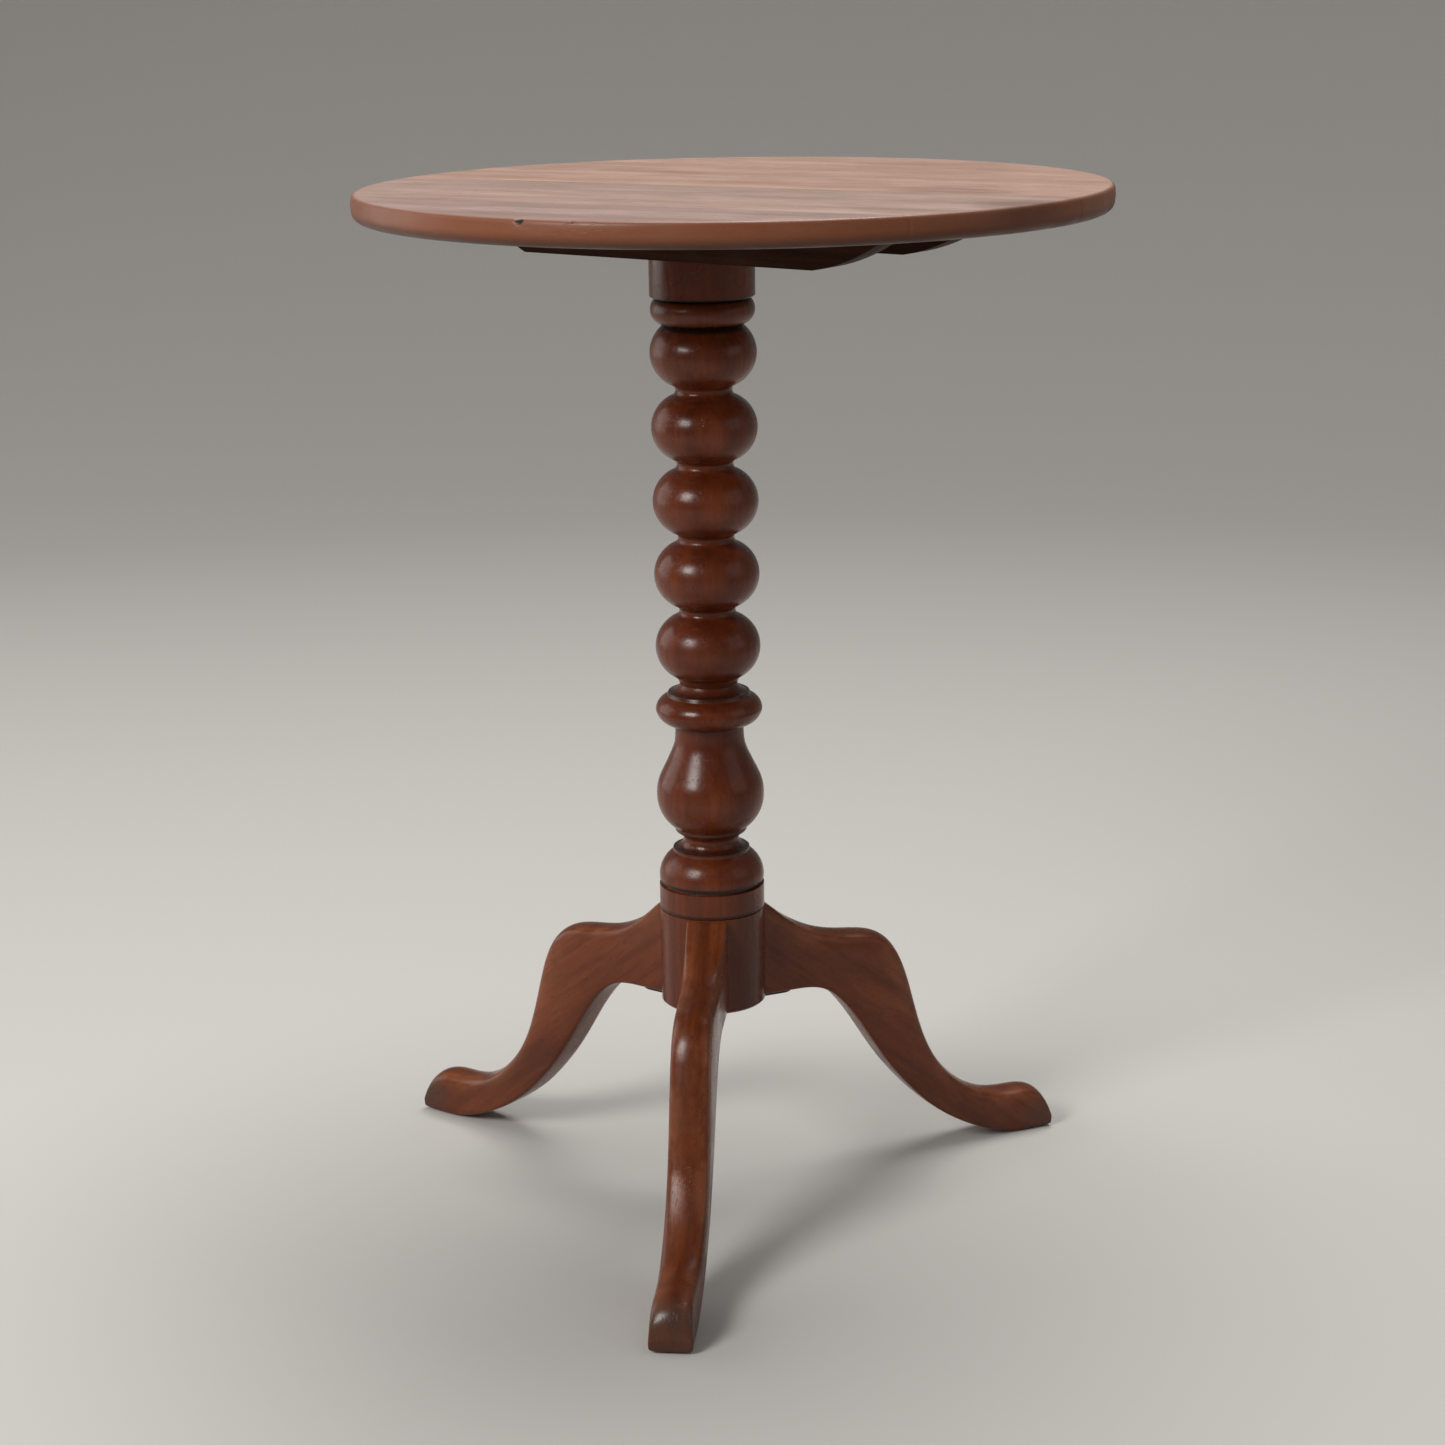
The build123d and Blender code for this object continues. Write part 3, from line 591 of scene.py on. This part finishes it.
# ---- The table ----
# Board, joint on its near side, joint on its far side, shade, place in the log.
BOARD_CUTS = (
    ("front", None, FRONT_JOINT, (0.97, 0.98, 1.02), (0.3, 0, 0)),
    ("middle", FRONT_JOINT, BACK_JOINT, (1.0, 1.0, 1.0), (0.9, 1, 0)),
    ("back", BACK_JOINT, None, (1.08, 1.0, 0.92), (1.7, 2, 0)),
)
BRASS_NODES = (
    "keep",
    "keep_screws",
    "catch_case",
    "catch_screws",
    "spring_stud",
    "catch_bolt",
    "catch_knob",
)

for board, near_joint, far_joint, shade, log_place in BOARD_CUTS:
    wood = top_wood(f"{board}_board_wood", shade, log_place)
    make_board(f"board_{board}", near_joint, far_joint, wood)

for leg_name, leg_angle in LEGS.items():
    make_leg(leg_name, leg_angle)

paint("column", column_wood())

# Painted shade: the bearers and the block under the top take the dark underside tones.
underside = dull_wood("underside_wood", UNDER_SHADE_TONES)
bare_wood = dull_wood("bare_wood", PLAIN_TONES)
brass = metal("aged_brass", (0.50, 0.36, 0.14), (0.16, 0.10, 0.04), 0.28, 0.50)
steel = metal("dull_steel", (0.30, 0.28, 0.26), (0.10, 0.085, 0.07), 0.35, 0.60, 0.8)
iron = forged_iron()

for bearer in ("bearer_right", "bearer_left"):
    eased_copy(bearer, "top", underside, 0.8 * MM)
eased_copy("block", "base", underside, 0.8 * MM)
eased_copy("leg_strap", "base", iron, 0.3 * MM)
for brass_node in BRASS_NODES:
    paint(brass_node, brass)
for steel_node in ("strap_screws", "bearer_screws", "catch_spring"):
    paint(steel_node, steel)
for wood_node in ("tenon_wedge", "pivot_pins", "board_dowels"):
    paint(wood_node, bare_wood)


# ---- Floor, light and camera ----
VIEW_TURN = math.radians(36.7)  # the camera's turn about the column from looking along +Y
CAMERA_DISTANCE = 1.8915
CAMERA_HEIGHT = 0.835
CAMERA_PITCH = 0.2618
CAMERA_YAW = 0.0046
CAMERA_ROLL = -0.0155
LENS = 73.8


FLOOR_REACH = 2.4
SWEEP_RADIUS = 2.0
WALL_TOP = 2.6


def make_backdrop():
    """A pale floor that sweeps up into a low wall all round, far off."""
    sweep = bmesh.new()
    section = [(0.0, 0.0), (FLOOR_REACH, 0.0)]
    for step in range(1, 13):
        turn = math.radians(7.5 * step)
        out = FLOOR_REACH + SWEEP_RADIUS * math.sin(turn)
        section.append((out, SWEEP_RADIUS - SWEEP_RADIUS * math.cos(turn)))
    section.append((FLOOR_REACH + SWEEP_RADIUS, WALL_TOP))
    points = [sweep.verts.new((r, 0.0, z)) for r, z in section]
    lines = [sweep.edges.new(pair) for pair in zip(points, points[1:])]
    bmesh.ops.spin(
        sweep, geom=points + lines, cent=(0, 0, 0), axis=(0, 0, 1), angle=math.tau, steps=120, use_merge=True
    )
    bmesh.ops.remove_doubles(sweep, verts=sweep.verts[:], dist=0.0001)
    bmesh.ops.recalc_face_normals(sweep, faces=sweep.faces[:])
    for face in sweep.faces:
        face.smooth = True
    mesh = bpy.data.meshes.new("backdrop")
    sweep.to_mesh(mesh)
    sweep.free()
    recipe = Recipe("pale_backdrop")
    recipe.set(Base_Color=(0.54, 0.525, 0.50, 1.0), Roughness=0.8, Specular_IOR_Level=0.2)
    mesh.materials.append(recipe.material)
    backdrop = bpy.data.objects.new("backdrop", mesh)
    bpy.context.scene.collection.objects.link(backdrop)


def make_light(name, side_angle, elevation, distance, size, power, colour=(1, 1, 1)):
    """A soft square light, placed round the table from the camera's side: angles in degrees."""
    data = bpy.data.lights.new(name, "AREA")
    data.size = size
    data.energy = power
    data.color = colour
    light = bpy.data.objects.new(name, data)
    turn = VIEW_TURN - math.pi / 2 + math.radians(side_angle)
    rise = math.radians(elevation)
    target = Vector((0.0, 0.0, 0.40))
    offset = Vector((math.cos(turn) * math.cos(rise), math.sin(turn) * math.cos(rise), math.sin(rise)))
    light.location = target + offset * distance
    light.rotation_euler = (-offset).to_track_quat("-Z", "Y").to_euler()
    bpy.context.scene.collection.objects.link(light)


def make_world():
    world = bpy.data.worlds.new("studio")
    world.use_nodes = True
    background = world.node_tree.nodes["Background"]
    background.inputs["Color"].default_value = (0.86, 0.87, 0.89, 1.0)
    background.inputs["Strength"].default_value = 0.16
    bpy.context.scene.world = world


def make_camera():
    data = bpy.data.cameras.new("camera")
    data.sensor_width = 36.0
    data.lens = LENS
    data.clip_end = 50.0
    camera = bpy.data.objects.new("camera", data)
    forward = Vector(
        (
            math.sin(CAMERA_YAW) * math.cos(CAMERA_PITCH),
            math.cos(CAMERA_YAW) * math.cos(CAMERA_PITCH),
            -math.sin(CAMERA_PITCH),
        )
    )
    level = Vector((math.cos(CAMERA_YAW), -math.sin(CAMERA_YAW), 0.0))
    upright = level.cross(forward)
    right = math.cos(CAMERA_ROLL) * level + math.sin(CAMERA_ROLL) * upright
    up = right.cross(forward)
    place = Matrix((right, up, -forward)).transposed().to_4x4()
    place.translation = Vector((0.0, -CAMERA_DISTANCE, CAMERA_HEIGHT))
    camera.matrix_world = Matrix.Rotation(VIEW_TURN, 4, "Z") @ place
    bpy.context.scene.collection.objects.link(camera)
    bpy.context.scene.camera = camera


make_backdrop()
make_light("window", -46.0, 30.0, 2.5, 0.9, 44.0, (1.0, 0.98, 0.96))
make_light("side", -112.0, 14.0, 2.6, 1.8, 17.0, (1.0, 0.98, 0.96))
make_light("overhead", 150.0, 74.0, 2.4, 1.6, 54.0, (1.0, 0.99, 0.97))
make_light("fill", 70.0, 22.0, 3.0, 2.0, 6.0)
make_world()
make_camera()
bpy.context.scene.view_settings.view_transform = "Standard"
